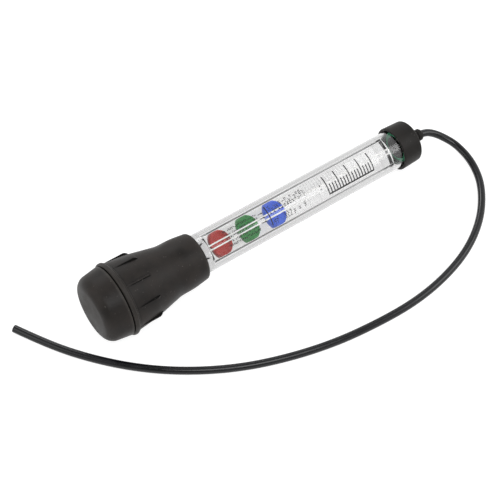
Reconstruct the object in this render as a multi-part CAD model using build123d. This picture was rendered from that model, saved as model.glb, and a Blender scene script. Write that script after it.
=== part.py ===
from build123d import *
import os
from math import asin, atan, cos, degrees, hypot, pi, radians, sin

# Diesel exhaust fluid tester, lying on the floor with its pick-up hose laid out in front.
# A rubber squeeze bulb and a rubber end cap are pushed over the two ends of a clear barrel,
# and a stopper closes the barrel under the cap.
# Three coloured discs of different weight float in the barrel's channel, each between two
# ribs in front of it and two ledges behind it.
# Lengths are in millimetres. Each sub-part is drawn along +X, its stations counted from the
# bulb's end face, with the barrel's print side up. Then it is laid down as the tool rests.

# Squeeze bulb. Its shoulder and the ends of its fins lie at shares of the length from the
# ring's step to the bulb's mouth, and its long roundings are shares of the run that tapers
# from the shoulder to the neck.
bulb_length = 73.3
bulb_wall = 2.8
bulb_end_radius = 20.2
bulb_end_rounding = 6.8
cavity_rounding = 4.0
dome_radius = 22.4
ring_start = 15.9
ring_width = 3.0
ring_radius = 23.4
ring_rounding = 1.1
ring_step_width = 0.7
ring_step_radius = 22.6
ring_step_rounding = 0.3
ring_groove_width = 0.7
ring_groove_depth = 1.0
body_radius = 22.1
shoulder_radius = 20.7
shoulder_share = 0.258
shoulder_rounding_share = 1.22
neck_rounding_share = 1.0
neck_draft = 1.55
neck_lead = 3.9    # from the neck to the lip behind the hollow
collar_share = 0.458    # from the neck to the mouth
collar_draft = 1.45
collar_rounding_share = 4.6
mouth_wall = 2.5
mouth_rounding = 2.3
lip_thickness = 3.0
lip_overlap = 3.5

# Grip fins round the bulb, behind its ring
fin_count = 9
fin_thickness = 1.2
fin_radius = 22.15
fin_end_share = 0.317
fin_nose_rounding = 4.0
fin_phase = 20.5    # degrees from the top towards the near side

# Clear barrel
barrel_radius = 12.5
barrel_length = 173.1
barrel_edge = 0.4
tail_insertion = 14.0
channel_face_wall = 6.1
channel_side_wall = 5.3
channel_corner = 0.5
channel_end_gap = 6.0    # from the bulb's mouth to the channel's closed end
throat_radius = 3.2
funnel_length = 4.5
funnel_step = 0.4
recess_wall = 2.1
recess_depth = 18.1
rib_thickness = 0.7
rib_height = 0.6
rib_pitch = 2.2
ledge_thickness = 1.0
ledge_width = 1.7

# Discs, at the places where they lie in the channel
disc_side_play = 0.4
disc_lean = 0.3    # towards the channel's lower wall
disc_face_play = 0.1
disc_thickness = 3.5
disc_edge = 0.5
red_place = 8.6    # from the channel's closed end
green_spacing = 20.0
blue_spacing = 19.7

# Stopper pressed into the barrel's recess, with a green seal ring on its nose
stopper_length = 6.5
stopper_nose_length = 2.6
stopper_drain_radius = 1.5
seal_width = 3.0
seal_thickness = 1.6

# End cap with its hose nozzle
cap_wall = 1.9
cap_draft = 0.65
cap_end_wall = 3.8
cap_overlap = 10.5
cap_mouth_edge = 0.6
cap_lead_in = 0.3
cap_end_rounding = 1.8
nozzle_length = 9.7
nozzle_root_radius = 3.55
nozzle_bead_radius = 3.9
nozzle_bead_width = 2.5
nozzle_tip_radius = 2.9
nozzle_tip_length = 1.2

# Between the barrel and the parts that are pushed over it or into it
push_fit_clearance = 0.05

# Pick-up hose
hose_radius = 2.4
hose_bore_radius = 1.5
hose_insertion = 5.0

# How the tool lies: its barrel is rolled from print side up towards the near side
barrel_roll = 29.5    # degrees

# The free hose's route in the part's own frame. It leaves the nozzle straight along the
# axis for the exit run, droops to the floor and lies there up to its cut end.
hose_exit_run = 2.4
hose_route = [
    (132.6, -3.3, 10.2),
    (137.4, -9.5, 7.6),
    (140.0, -14.8, 6.1),
    (140.9, -19.8, 5.2),
    (141.3, -26.2, 4.3),
    (140.0, -34.9, 3.6),
    (135.8, -46.0, 3.0),
    (127.8, -57.2, 2.6),
    (116.8, -68.1, 2.4),
    (101.4, -78.2, 2.4),
    (84.0, -85.4, 2.4),
    (62.9, -90.3, 2.4),
    (40.9, -92.2, 2.4),
    (15.0, -90.7, 2.4),
    (-11.7, -87.0, 2.4),
    (-39.6, -79.5, 2.4),
    (-66.9, -68.6, 2.4),
    (-93.3, -52.8, 2.4),
    (-115.5, -34.3, 2.4),
    (-134.7, -12.7, 2.4),
    (-149.9, 9.6, 2.4),
    (-160.4, 29.9, 2.4),
]
arc_run_share = 0.45    # of the shorter run beside a corner

cut_overrun = 1.0

# Places and radii that follow from the sizes above
ring_end = ring_start + ring_width
step_end = ring_end + ring_step_width
shoulder_station = step_end + shoulder_share * (bulb_length - step_end)
fin_station = step_end + fin_end_share * (bulb_length - step_end)
barrel_start = bulb_length - tail_insertion
barrel_end = barrel_start + barrel_length
lip_station = barrel_start - lip_thickness
neck_station = lip_station - neck_lead
collar_station = neck_station + collar_share * (bulb_length - neck_station)
shoulder_rounding = shoulder_rounding_share * (neck_station - shoulder_station)
neck_rounding = neck_rounding_share * (neck_station - shoulder_station)
collar_rounding = collar_rounding_share * (bulb_length - collar_station)
channel_start = bulb_length + channel_end_gap
recess_station = barrel_end - recess_depth
shoulder_end = barrel_end - stopper_length
nose_station = shoulder_end - stopper_nose_length
cap_start = barrel_end - cap_overlap
cap_end = barrel_end + cap_end_wall
nozzle_end = cap_end + nozzle_length
hose_start = nozzle_end - hose_insertion
red_station = channel_start + red_place
green_station = red_station + green_spacing
blue_station = green_station + blue_spacing

sleeve_radius = barrel_radius + push_fit_clearance
mouth_radius = barrel_radius + mouth_wall
neck_radius = mouth_radius + neck_draft
collar_radius = mouth_radius + collar_draft
recess_radius = barrel_radius - recess_wall
stopper_radius = recess_radius - push_fit_clearance
nose_radius = stopper_radius - seal_width
cap_mouth_radius = barrel_radius + cap_wall
cap_end_radius = cap_mouth_radius - cap_draft
face_wall = barrel_radius - channel_face_wall
side_wall = barrel_radius - channel_side_wall
disc_radius = side_wall - disc_side_play
disc_top = face_wall - rib_height - disc_face_play
disc_middle = disc_top - disc_thickness / 2
ledge_top = disc_top - disc_thickness - disc_face_play


def turned(profile):
    """Solid of revolution about the tool's axis from an outline of station and radius."""
    face = make_face([profile, Line(profile @ 1, profile @ 0)])
    return revolve(Plane.XY * face, Axis.X, 360)


def drum(start, end, radius):
    """Plain cylinder on the axis between two stations."""
    return turned(Polyline((start, 0), (start, radius), (end, radius), (end, 0)))


def bar(start, end, width, height, offset, middle):
    """Straight bar along the axis, its middle offset sideways and a given height above it."""
    return Pos((start + end) / 2, offset, middle) * Box(end - start, width, height)


def wall_line(inset):
    """Points of the bulb's wall from its ring to its neck, drawn in by an inset."""
    return [
        (ring_start, dome_radius - inset),
        (step_end, body_radius - inset),
        (shoulder_station, shoulder_radius - inset),
        (neck_station, neck_radius - inset),
    ]


def grip_fin():
    """One thin fin whose outer edge runs along the axis, its root sunk in the bulb's wall."""
    root_radius = fin_radius - fin_nose_rounding - cut_overrun
    outline = FilletPolyline(
        (ring_end, root_radius),
        (ring_end, fin_radius),
        (fin_station, fin_radius),
        (fin_station, root_radius),
        radius=[0, fin_nose_rounding],
    )
    face = make_face([outline, Line(outline @ 1, outline @ 0)])
    return extrude(Plane.XZ * face, amount=fin_thickness / 2, both=True)


def squeeze_bulb():
    """Moulded rubber bulb: hollow, with a bead ring, grip fins and a socket for the barrel."""
    outline = FilletPolyline(
        (0, 0),
        (0, bulb_end_radius),
        *wall_line(0),
        (collar_station, collar_radius),
        (bulb_length, mouth_radius),
        (bulb_length, 0),
        radius=[
            bulb_end_rounding,
            0,
            0,
            shoulder_rounding,
            neck_rounding,
            collar_rounding,
            mouth_rounding,
        ],
    )
    cavity = FilletPolyline(
        (bulb_wall, 0),
        (bulb_wall, bulb_end_radius - bulb_wall),
        *wall_line(bulb_wall),
        (lip_station, neck_radius - bulb_wall),
        (lip_station, 0),
        radius=[cavity_rounding, 0, 0, shoulder_rounding, neck_rounding, 0],
    )
    ring = FilletPolyline(
        (ring_start, 0),
        (ring_start, ring_radius),
        (ring_end, ring_radius),
        (ring_end, 0),
        radius=[ring_rounding, ring_rounding],
    )
    step = FilletPolyline(
        (ring_start, 0),
        (ring_start, ring_step_radius),
        (step_end, ring_step_radius),
        (step_end, 0),
        radius=[0, ring_step_rounding],
    )
    solid = turned(outline) + turned(ring) + turned(step)
    for place in range(fin_count):
        solid += Rot(fin_phase + 360 * place / fin_count, 0, 0) * grip_fin()
    groove_start = ring_start - ring_groove_width
    groove_floor = dome_radius - ring_groove_depth
    groove = drum(groove_start, ring_start, dome_radius + cut_overrun)
    solid -= groove - drum(groove_start - cut_overrun, ring_end, groove_floor)
    solid -= turned(cavity)
    solid -= drum(lip_station - cut_overrun, barrel_start, barrel_radius - lip_overlap)
    solid -= drum(barrel_start, bulb_length + cut_overrun, sleeve_radius)
    return solid


def barrel():
    """Clear round barrel with a guide channel, a throat to the bulb and the stopper's recess."""
    outline = Polyline(
        (barrel_start, 0),
        (barrel_start, barrel_radius - barrel_edge),
        (barrel_start + barrel_edge, barrel_radius),
        (barrel_end - barrel_edge, barrel_radius),
        (barrel_end, barrel_radius - barrel_edge),
        (barrel_end, 0),
    )
    span = channel_start, recess_station
    channel = bar(*span, 2 * side_wall, 2 * face_wall, 0, 0)
    channel = fillet(channel.edges().filter_by(Axis.X), channel_corner)
    for side in (-1, 1):
        rib = side * rib_pitch / 2, face_wall - rib_height / 2
        ledge = side * (side_wall - ledge_width / 2), ledge_top - ledge_thickness / 2
        channel -= bar(*span, rib_thickness, rib_height, *rib)
        channel -= bar(*span, ledge_width, ledge_thickness, *ledge)
    funnel = Polyline(
        (barrel_start - cut_overrun, 0),
        (barrel_start - cut_overrun, throat_radius),
        (channel_start - funnel_length, throat_radius),
        (channel_start, face_wall - funnel_step),
        (channel_start, 0),
    )
    solid = turned(outline) - channel - turned(funnel)
    solid -= drum(recess_station, barrel_end + cut_overrun, recess_radius)
    return solid


def disc(station):
    """Flat float with rounded edges, lying between the barrel's ribs and its ledges."""
    blank = Cylinder(disc_radius, disc_thickness)
    return Pos(station, -disc_lean, disc_middle) * fillet(blank.edges(), disc_edge)


def stopper():
    """Rubber plug that closes the barrel's recess, with a nose for the seal and a drain."""
    solid = drum(nose_station, barrel_end, nose_radius)
    solid += drum(shoulder_end, barrel_end, stopper_radius)
    return solid - drum(nose_station - cut_overrun, barrel_end + cut_overrun, stopper_drain_radius)


def seal_ring():
    """Square-cut ring on the stopper's nose, which seals against the wall of the recess."""
    start = shoulder_end - seal_thickness
    hole = drum(start - cut_overrun, shoulder_end + cut_overrun, nose_radius)
    return drum(start, shoulder_end, stopper_radius) - hole


def end_cap():
    """Moulded rubber cap: a sleeve over the barrel, an end wall and a nozzle for the hose."""
    bead_start = nozzle_end - nozzle_tip_length - nozzle_bead_width
    outline = FilletPolyline(
        (barrel_end, 0),
        (barrel_end, sleeve_radius),
        (cap_start + cap_lead_in, sleeve_radius),
        (cap_start, sleeve_radius + cap_lead_in),
        (cap_start, cap_mouth_radius - cap_mouth_edge),
        (cap_start + cap_mouth_edge, cap_mouth_radius),
        (cap_end, cap_end_radius),
        (cap_end, nozzle_root_radius),
        (bead_start, nozzle_root_radius),
        (bead_start, nozzle_bead_radius),
        (nozzle_end - nozzle_tip_length, nozzle_bead_radius),
        (nozzle_end, nozzle_tip_radius),
        (nozzle_end, 0),
        radius=[0, 0, 0, 0, 0, cap_end_rounding, 0, 0, 0, 0, 0],
    )
    solid = turned(outline)
    solid -= drum(hose_start, nozzle_end + cut_overrun, hose_radius)
    return solid - drum(barrel_end - cut_overrun, hose_start, hose_bore_radius)


def resting_tilt():
    """Angle and height of the axis when the bulb's ring and the cap touch the floor.

    Each touching edge is a rounding whose centre circle has a station and a radius. The cap
    comes down about the ring until the first of its two edges meets the floor.
    """
    ring_station = ring_end - ring_rounding
    ring_centre = ring_radius - ring_rounding
    edges = [
        (cap_start + cap_mouth_edge, cap_mouth_radius, 0.0),
        (cap_end - cap_end_rounding, cap_end_radius - cap_end_rounding, cap_end_rounding),
    ]
    tilts = []
    for station, centre, rounding in edges:
        along = station - ring_station
        across = ring_centre - centre
        reach = hypot(along, across)
        tilts.append(asin((ring_rounding - rounding) / reach) + atan(across / along))
    tilt = min(tilts)
    height = ring_rounding + ring_centre * cos(tilt) + ring_station * sin(tilt)
    return tilt, height


tilt, axis_height = resting_tilt()
rolled = Rot(barrel_roll, 0, 0)
lowered = Pos(0, 0, axis_height) * Rot(0, degrees(tilt), 0)

drawn = {
    "squeeze_bulb": squeeze_bulb(),
    "barrel": rolled * barrel(),
    "red_disc": rolled * disc(red_station),
    "green_disc": rolled * disc(green_station),
    "blue_disc": rolled * disc(blue_station),
    "stopper": stopper(),
    "seal_ring": seal_ring(),
    "end_cap": end_cap(),
}

# The middle of the laid tool's length is the frame's origin, on the floor below the axis
ends = [(lowered * drawn[name]).bounding_box() for name in ("squeeze_bulb", "end_cap")]
middle = (ends[0].min.X + ends[1].max.X) / 2
laid = Pos(-middle, 0, 0) * lowered


def on_axis(station):
    """Point of the laid tool's axis at a station."""
    return (laid * Pos(station, 0, 0)).position


def free_hose(route):
    """Hollow hose along straight runs joined by tangent arcs, and its length and radii."""
    points = [Vector(*point) for point in route]
    runs = [after - before for before, after in zip(points, points[1:])]
    radii = []
    for before, after in zip(runs, runs[1:]):
        half_turn = radians(before.get_angle(after)) / 2
        radii.append(arc_run_share * min(before.length, after.length) * cos(half_turn) / sin(half_turn))
    path = FilletPolyline(*points, radius=radii)
    section = Plane(origin=points[0], z_dir=path % 0) * (Circle(hose_radius) - Circle(hose_bore_radius))
    return sweep(section, path=path), path.length, radii


route = [on_axis(hose_start), on_axis(nozzle_end + hose_exit_run)] + hose_route
hose, hose_length, hose_radii = free_hose(route)

parts = {name: laid * solid for name, solid in drawn.items()}
parts["hose"] = hose

os.makedirs("parts", exist_ok=True)
for name, solid in parts.items():
    export_step(solid, f"parts/{name}.step")

section_area = pi * (hose_radius**2 - hose_bore_radius**2)
last_run = Vector(*hose_route[-1]) - Vector(*hose_route[-2])
last_straight = (1 - arc_run_share) * last_run.length
print("tilt", round(degrees(tilt), 3), "axis height", round(axis_height, 3), "middle", round(middle, 3))
print("hose length", round(hose_length, 1), "volume", round(hose.volume, 1))
print("section times length", round(section_area * hose_length, 1))
print("arc radii", [round(radius, 1) for radius in hose_radii])
print("axis direction", tuple(on_axis(1) - on_axis(0)))
print("bulb end", tuple(on_axis(0)), "nozzle end", tuple(on_axis(nozzle_end)))
print("hose tip direction", tuple(last_run.normalized()), "straight", round(last_straight, 1))
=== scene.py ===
"""Looks of a diesel exhaust fluid tester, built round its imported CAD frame.

Sizes are in millimetres and are turned to metres only where a mesh, a lamp or the camera is
made. A place on the tool is a station along its axis from the bulb's end face, a distance
across the axis, and a height towards the barrel's printed side. ToolAxis lays such places
down in the shared frame.
"""

from __future__ import annotations

import logging
import math
from dataclasses import dataclass, field
from enum import Enum

import bmesh
import bpy
import numpy as np
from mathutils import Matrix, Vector
from mathutils.geometry import tessellate_polygon

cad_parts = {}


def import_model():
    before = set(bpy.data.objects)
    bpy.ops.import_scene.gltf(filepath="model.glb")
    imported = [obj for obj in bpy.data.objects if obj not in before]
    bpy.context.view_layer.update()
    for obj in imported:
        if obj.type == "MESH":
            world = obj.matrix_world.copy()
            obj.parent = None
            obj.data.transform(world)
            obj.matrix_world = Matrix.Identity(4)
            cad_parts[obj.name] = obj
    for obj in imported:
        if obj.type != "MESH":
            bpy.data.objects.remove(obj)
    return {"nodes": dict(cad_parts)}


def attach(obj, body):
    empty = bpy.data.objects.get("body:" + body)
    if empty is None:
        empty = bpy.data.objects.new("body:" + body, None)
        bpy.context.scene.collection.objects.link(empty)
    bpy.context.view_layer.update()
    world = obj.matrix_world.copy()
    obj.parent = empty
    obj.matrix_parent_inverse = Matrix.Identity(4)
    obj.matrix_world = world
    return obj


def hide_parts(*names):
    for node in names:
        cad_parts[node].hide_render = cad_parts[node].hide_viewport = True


MM = 0.001
FULL_TURN = 2 * math.pi
# Points of a mesh that are closer than this are one, in millimetres.
SAME_SPOT = 0.002
# The relief attribute gives the rubber wear with a painted highlight on bare edges, and painted shade in
# crevices and on fin sides.
RELIEF = "relief"
# A relief is the turning within this distance, in millimetres, over this full turn, in radians.
RELIEF_REACH = 0.5
RELIEF_FULL = 1.2
# How much under and over its roughness a moulded finish varies.
SMOOTHER = 0.08
DULLER = 0.12
ACRYLIC_IOR = 1.49
# Place of the colour among a mix node's outputs.
MIXED_COLOUR = 2
log = logging.getLogger("tester")

Corner = tuple[float, float, float]
Spot = tuple[float, float, float]
Piece = bpy.types.Object
Material = bpy.types.Material
Tree = bpy.types.NodeTree
Socket = bpy.types.NodeSocket


class Body(Enum):
    """Bodies of the frame that the pieces ride on."""

    BARREL = "barrel"
    BULB = "bulb"
    CAP = "cap"
    RED_FLOAT = "red_float"
    GREEN_FLOAT = "green_float"
    BLUE_FLOAT = "blue_float"


class FloatColour(Enum):
    """Colours of the three discs, each with its pigment's sRGB value."""

    RED = "#ba1a06"
    GREEN = "#1f923a"
    BLUE = "#376af0"


# ---- Shapes --------------------------------------------------------------------------------


@dataclass(frozen=True)
class ToolAxis:
    """How the tool lies: on its bulb's ring and its cap's edge, rolled towards the near side."""

    start: Spot = (-122.578, 0.0, 24.160)
    tilt: float = 2.518
    roll: float = 29.5

    def turn(self, rolled: bool = True) -> np.ndarray:
        """The turn from tool places to the frame: a roll about the axis, then the tilt.

        Args:
            rolled: whether it turns with the barrel's printed side.

        Returns:
            The turn as a 3 by 3 matrix.
        """
        tilt = math.radians(self.tilt)
        roll = math.radians(self.roll if rolled else 0.0)
        tilted = np.array(
            [[math.cos(tilt), 0.0, math.sin(tilt)], [0.0, 1.0, 0.0], [-math.sin(tilt), 0.0, math.cos(tilt)]]
        )
        turned = np.array(
            [[1.0, 0.0, 0.0], [0.0, math.cos(roll), -math.sin(roll)], [0.0, math.sin(roll), math.cos(roll)]]
        )
        return tilted @ turned

    def place(self, points: np.ndarray, rolled: bool = True) -> np.ndarray:
        """Lays places given as station, across and height down in the frame, all in millimetres."""
        return points @ self.turn(rolled).T + np.array(self.start)


AXIS = ToolAxis()


@dataclass
class Surface:
    """Points in millimetres and the faces between them, as it grows towards a mesh."""

    points: np.ndarray = field(default_factory=lambda: np.zeros((0, 3)))
    relief: np.ndarray = field(default_factory=lambda: np.zeros(0))
    faces: list[list[int]] = field(default_factory=list)
    slots: list[int] = field(default_factory=list)

    def add(
        self,
        points: np.ndarray,
        faces: np.ndarray,
        relief: np.ndarray | None = None,
        slots: np.ndarray | None = None,
    ) -> None:
        """Adds points and faces.

        Args:
            points: points of shape (n, 3).
            faces: each face's points, counted from the first of the new points.
            relief: for each point 1 on a bare edge, -1 in a crevice, 0 elsewhere.
            slots: for each face its material's place.
        """
        self.faces += (faces + len(self.points)).tolist()
        self.points = np.vstack([self.points, points])
        self.relief = np.append(self.relief, np.zeros(len(points)) if relief is None else relief)
        self.slots += [0] * len(faces) if slots is None else slots.tolist()

    def add_grid(
        self,
        rows: np.ndarray,
        round_trip: bool = True,
        closed: bool = False,
        relief: np.ndarray | None = None,
        slots: np.ndarray | None = None,
    ) -> None:
        """Adds a grid of quads.

        Face (i, j) joins points (i, j), (i, j+1), (i+1, j+1) and (i+1, j), so a row's end meets
        its start if the rows go round.

        Args:
            rows: points of shape (rows, points in a row, 3).
            round_trip: whether each row is a ring.
            closed: whether the last row joins the first.
            relief: relief of shape (rows, points in a row).
            slots: material's place for each face of a row.
        """
        count, width = rows.shape[:2]
        i = np.arange(count if closed else count - 1)[:, None]
        j = np.arange(width if round_trip else width - 1)[None, :]
        after = (i + 1) % count
        beside = (j + 1) % width
        corners = [i * width + j, i * width + beside, after * width + beside, after * width + j]
        quads = np.stack([np.broadcast_to(c, (i.size, j.size)) for c in corners], axis=-1)
        spread = None if relief is None else relief.ravel()
        places = None if slots is None else np.tile(slots, i.size)
        self.add(rows.reshape(-1, 3), quads.reshape(-1, 4), spread, places)

    def add_flat(self, outer: np.ndarray, inner: np.ndarray) -> None:
        """Adds the flat face between two loops in one plane, as triangles."""
        loops = [[Vector(point) for point in loop.tolist()] for loop in (outer, inner)]
        self.add(np.vstack([outer, inner]), np.array(tessellate_polygon(loops)))

    def piece(self, name: str, sharp: float = 35.0) -> Piece:
        """Makes the smooth-shaded object, its faces outwards.

        Args:
            name: the piece's name.
            sharp: turn in degrees from which an edge stays crisp.

        Returns:
            The object, linked to the scene, with its place in its mesh.
        """
        mesh = bpy.data.meshes.new(name)
        mesh.from_pydata((self.points * MM).tolist(), [], self.faces)
        mesh.polygons.foreach_set("material_index", self.slots)
        mesh.attributes.new(RELIEF, "FLOAT", "POINT").data.foreach_set("value", self.relief)
        work = bmesh.new()
        work.from_mesh(mesh)
        bmesh.ops.remove_doubles(work, verts=work.verts, dist=SAME_SPOT * MM)
        bmesh.ops.recalc_face_normals(work, faces=work.faces)
        work.to_mesh(mesh)
        work.free()
        mesh.shade_smooth()
        mesh.set_sharp_from_angle(angle=math.radians(sharp))
        made = bpy.data.objects.new(name, mesh)
        bpy.context.scene.collection.objects.link(made)
        return made


def rounded(corners: list[Corner], closed: bool = False, steps: int = 7) -> np.ndarray:
    """Polyline whose corners are rounded by tangent arcs.

    An arc of radius r at a corner that turns by t leaves its runs r tan(t / 2) before and after
    the corner. Its points are the corner's two tangent points blended along the circle.

    Args:
        corners: each corner's two places and its radius, 0 where it stays sharp.
        closed: whether the last corner joins the first.
        steps: how many spans an arc has.

    Returns:
        Points of shape (n, 2).
    """
    spots = np.array([corner[:2] for corner in corners])
    made = []
    for index, (_, _, radius) in enumerate(corners):
        spot = spots[index]
        open_end = not closed and index in (0, len(corners) - 1)
        if radius == 0 or open_end:
            made.append(spot[None, :])
            continue
        back = spots[index - 1] - spot
        ahead = spots[(index + 1) % len(corners)] - spot
        back = back / np.linalg.norm(back)
        ahead = ahead / np.linalg.norm(ahead)
        half = math.acos(float(np.clip(back @ ahead, -1, 1))) / 2
        inward = (back + ahead) / np.linalg.norm(back + ahead)
        centre = spot + inward * radius / math.sin(half)
        reach = math.pi / 2 - half
        angles = np.linspace(-reach, reach, steps + 1)[:, None]
        sideways = (ahead - back) / np.linalg.norm(ahead - back)
        made.append(centre + radius * (sideways * np.sin(angles) - inward * np.cos(angles)))
    return np.vstack(made)


def finer(outline: np.ndarray, pace: float) -> np.ndarray:
    """Adds points to an outline, so that no span is longer than a pace.

    Args:
        outline: the outline's points.
        pace: the longest span.

    Returns:
        The same outline with more points.
    """
    spans = [outline[:1]]
    for before, after in zip(outline, outline[1:]):
        count = max(1, math.ceil(float(np.linalg.norm(after - before)) / pace))
        spans.append(before + (after - before) * np.linspace(0, 1, count + 1)[1:, None])
    return np.vstack(spans)


def outline_relief(outline: np.ndarray, closed: bool) -> np.ndarray:
    """How bare or how sunken each point of a turned outline is, which sets where the rubber gets wear with a
    painted highlight and where it gets painted shade.

    The relief is the outline's turning near a point over a full turning: positive round an
    outer edge, negative in a crevice.

    Args:
        outline: the outline's points.
        closed: whether its last point joins the first.

    Returns:
        Each point's relief, from -1 to 1.
    """
    count = len(outline)
    before = outline - np.roll(outline, 1, axis=0)
    after = np.roll(outline, -1, axis=0) - outline
    cross = before[:, 0] * after[:, 1] - before[:, 1] * after[:, 0]
    turn = np.arctan2(cross, np.sum(before * after, axis=1))
    if not closed:
        turn[[0, -1]] = 0.0
    steps = np.linalg.norm(after, axis=1)
    along = np.concatenate([[0.0], np.cumsum(steps[: count - 1])])
    near = np.abs(along[:, None] - along[None, :]) <= RELIEF_REACH
    ahead = np.roll(outline, -1, axis=0)
    area = np.sum(outline[:, 0] * ahead[:, 1] - ahead[:, 0] * outline[:, 1])
    return np.clip(math.copysign(1.0, float(area)) * (near @ turn) / RELIEF_FULL, -1, 1)


def ring_rows(profile: np.ndarray, angles: np.ndarray) -> np.ndarray:
    """Rings about the tool's axis: a profile point (s, r) gives (s, r sin a, r cos a).

    Args:
        profile: stations and radii.
        angles: the angles of a ring's points.

    Returns:
        Points of shape (profile points, angles, 3).
    """
    station, radius = profile[:, :1], profile[:, 1:]
    across = radius * np.sin(angles)
    height = radius * np.cos(angles)
    return np.stack([np.broadcast_to(station, across.shape), across, height], axis=-1)


def even_angles(sides: int) -> np.ndarray:
    """Angles of a ring's points, evenly spaced."""
    return np.linspace(0, FULL_TURN, sides, endpoint=False)


def turned_piece(name: str, profile: np.ndarray, sides: int) -> Piece:
    """Turns a closed loop about the tool's axis.

    Args:
        name: the piece's name.
        profile: the loop's stations and radii.
        sides: how many points a ring has.

    Returns:
        The piece's object.
    """
    rows = ring_rows(profile, even_angles(sides))
    relief = np.repeat(outline_relief(profile, True), sides)
    surface = Surface()
    surface.add_grid(AXIS.place(rows, rolled=False), closed=True, relief=relief)
    return surface.piece(name)


# ---- Finishes ------------------------------------------------------------------------------


def linear(hexed: str) -> tuple[float, float, float, float]:
    """Linear colour of an sRGB value: v / 12.92 up to 0.04045, else ((v + 0.055) / 1.055)^2.4.

    Args:
        hexed: the colour as #rrggbb.

    Returns:
        Its red, green and blue, and a full alpha.
    """
    shares = [int(hexed[place : place + 2], 16) / 255 for place in (1, 3, 5)]
    lit = [v / 12.92 if v <= 0.04045 else ((v + 0.055) / 1.055) ** 2.4 for v in shares]
    return (*lit, 1.0)


def add_node(
    tree: Tree, kind: str, inputs: dict | None = None, output: int | str = 0, **settings: object
) -> Socket | None:
    """Adds a node to a tree.

    Args:
        tree: the node tree.
        kind: the node's type, without the word ShaderNode before it.
        inputs: for each socket its value, or the output socket that feeds it.
        output: the output that is wanted, by its place or its name.
        settings: the node's own properties.

    Returns:
        That output's socket, or None for a node without outputs.
    """
    made = tree.nodes.new(f"ShaderNode{kind}")
    for name, value in settings.items():
        setattr(made, name, value)
    for name, value in (inputs or {}).items():
        if isinstance(value, Socket):
            tree.links.new(value, made.inputs[name])
        else:
            made.inputs[name].default_value = value
    return made.outputs[output] if made.outputs else None


def blank_material(name: str) -> tuple[Material, Tree, Socket]:
    """Makes a material whose one node gives object coordinates.

    Args:
        name: the material's name.

    Returns:
        The material, its node tree, and the socket of its object coordinates.
    """
    made = bpy.data.materials.new(name)
    made.use_nodes = True
    tree = made.node_tree
    tree.nodes.clear()
    return made, tree, add_node(tree, "TexCoord", output="Object")


@dataclass(frozen=True)
class MouldedRubber:
    """Compression-moulded rubber.

    Carbon black keeps it dark, the mould's blasted walls make it matte, and a thin bloom of wax
    lightens it in soft clouds. Its bare edges are lighter, partly from the wear of handling and
    partly as a painted highlight, its crevices and the sides of its fins get painted shade, and a
    few specks of talc stay on it.
    """

    name: str
    colour: str
    bloom: str
    # Wear with a painted highlight: the colour laid over bare outer edges.
    wear_and_highlight: str = "#4a4743"
    # Painted shade: the colour laid into crevices and on the sides of fins.
    painted_shade_colour: str = "#050505"
    talc: str = "#8f8b86"
    roughness: float = 0.46
    gloss: float = 0.22
    bloom_mm: float = 14.0
    # The real grain is about 0.1 mm, too fine to show, and is drawn five times coarser.
    grain_mm: float = 0.5
    grain_height_mm: float = 0.02
    # Real specks are about 0.3 mm, and are drawn as blots that still show from afar.
    speck_mm: float = 1.1
    speck_share: float = 0.79
    speck_edge: float = 0.05
    speck_most: float = 0.15
    # Between these values of its clouds' noise the bloom thickens, and the gloss dulls.
    cloudy: tuple[float, float] = (0.35, 0.7)
    hazy: tuple[float, float] = (0.3, 0.7)
    # The largest share of the wear and painted highlight, then the relief at which the painted shade is
    # full, and its largest share.
    wear_and_highlight_most: float = 0.4
    painted_shade_from: float = -0.8
    painted_shade_most: float = 0.95

    def material(self) -> Material:
        """Builds the material.

        Four coats lie over its colour, each where a pattern of its own rises from low to high:
        the bloom's clouds, wear with a painted highlight on bare edges, painted shade in crevices
        and on fin sides, and the specks.

        Returns:
            The material.
        """
        made, tree, place = blank_material(self.name)
        clouds, specks, grain = (
            add_node(tree, "TexNoise", {"Vector": place, "Scale": 1 / (size * MM), "Detail": detail})
            for size, detail in ((self.bloom_mm, 4.0), (self.speck_mm, 0.0), (self.grain_mm, 3.0))
        )
        relief = add_node(tree, "Attribute", output="Fac", attribute_name=RELIEF)
        speck_full = self.speck_share + self.speck_edge
        # Over the bloom lie wear with a painted highlight on bare edges, then painted shade in crevices and
        # on fin sides.
        coats = (
            (clouds, *self.cloudy, 1.0, self.bloom),
            (relief, 0.0, 1.0, self.wear_and_highlight_most, self.wear_and_highlight),
            (relief, 0.0, self.painted_shade_from, self.painted_shade_most, self.painted_shade_colour),
            (specks, self.speck_share, speck_full, self.speck_most, self.talc),
        )
        colour = linear(self.colour)
        shares = []
        for pattern, low, high, most, coat in coats:
            share = add_node(
                tree, "MapRange", {"Value": pattern, "From Min": low, "From Max": high, "To Max": most}
            )
            mixed = {0: share, 6: colour, 7: linear(coat)}
            colour = add_node(tree, "Mix", mixed, MIXED_COLOUR, data_type="RGBA")
            shares.append(share)
        # The share of painted shade also dulls the gloss.
        _, _, painted_shade, _ = shares
        low, high = self.hazy
        smooth, rough = self.roughness - SMOOTHER, self.roughness + DULLER
        gloss = add_node(
            tree,
            "MapRange",
            {"Value": clouds, "From Min": low, "From Max": high, "To Min": smooth, "To Max": rough},
        )
        dull = add_node(tree, "Math", {0: gloss, 1: painted_shade}, operation="MAXIMUM")
        bump = add_node(
            tree, "Bump", {"Height": grain, "Distance": self.grain_height_mm * MM, "Strength": 1.0}
        )
        shader = add_node(
            tree,
            "BsdfPrincipled",
            {"Base Color": colour, "Roughness": dull, "Specular IOR Level": self.gloss, "Normal": bump},
        )
        add_node(tree, "OutputMaterial", {"Surface": shader})
        return made


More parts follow.
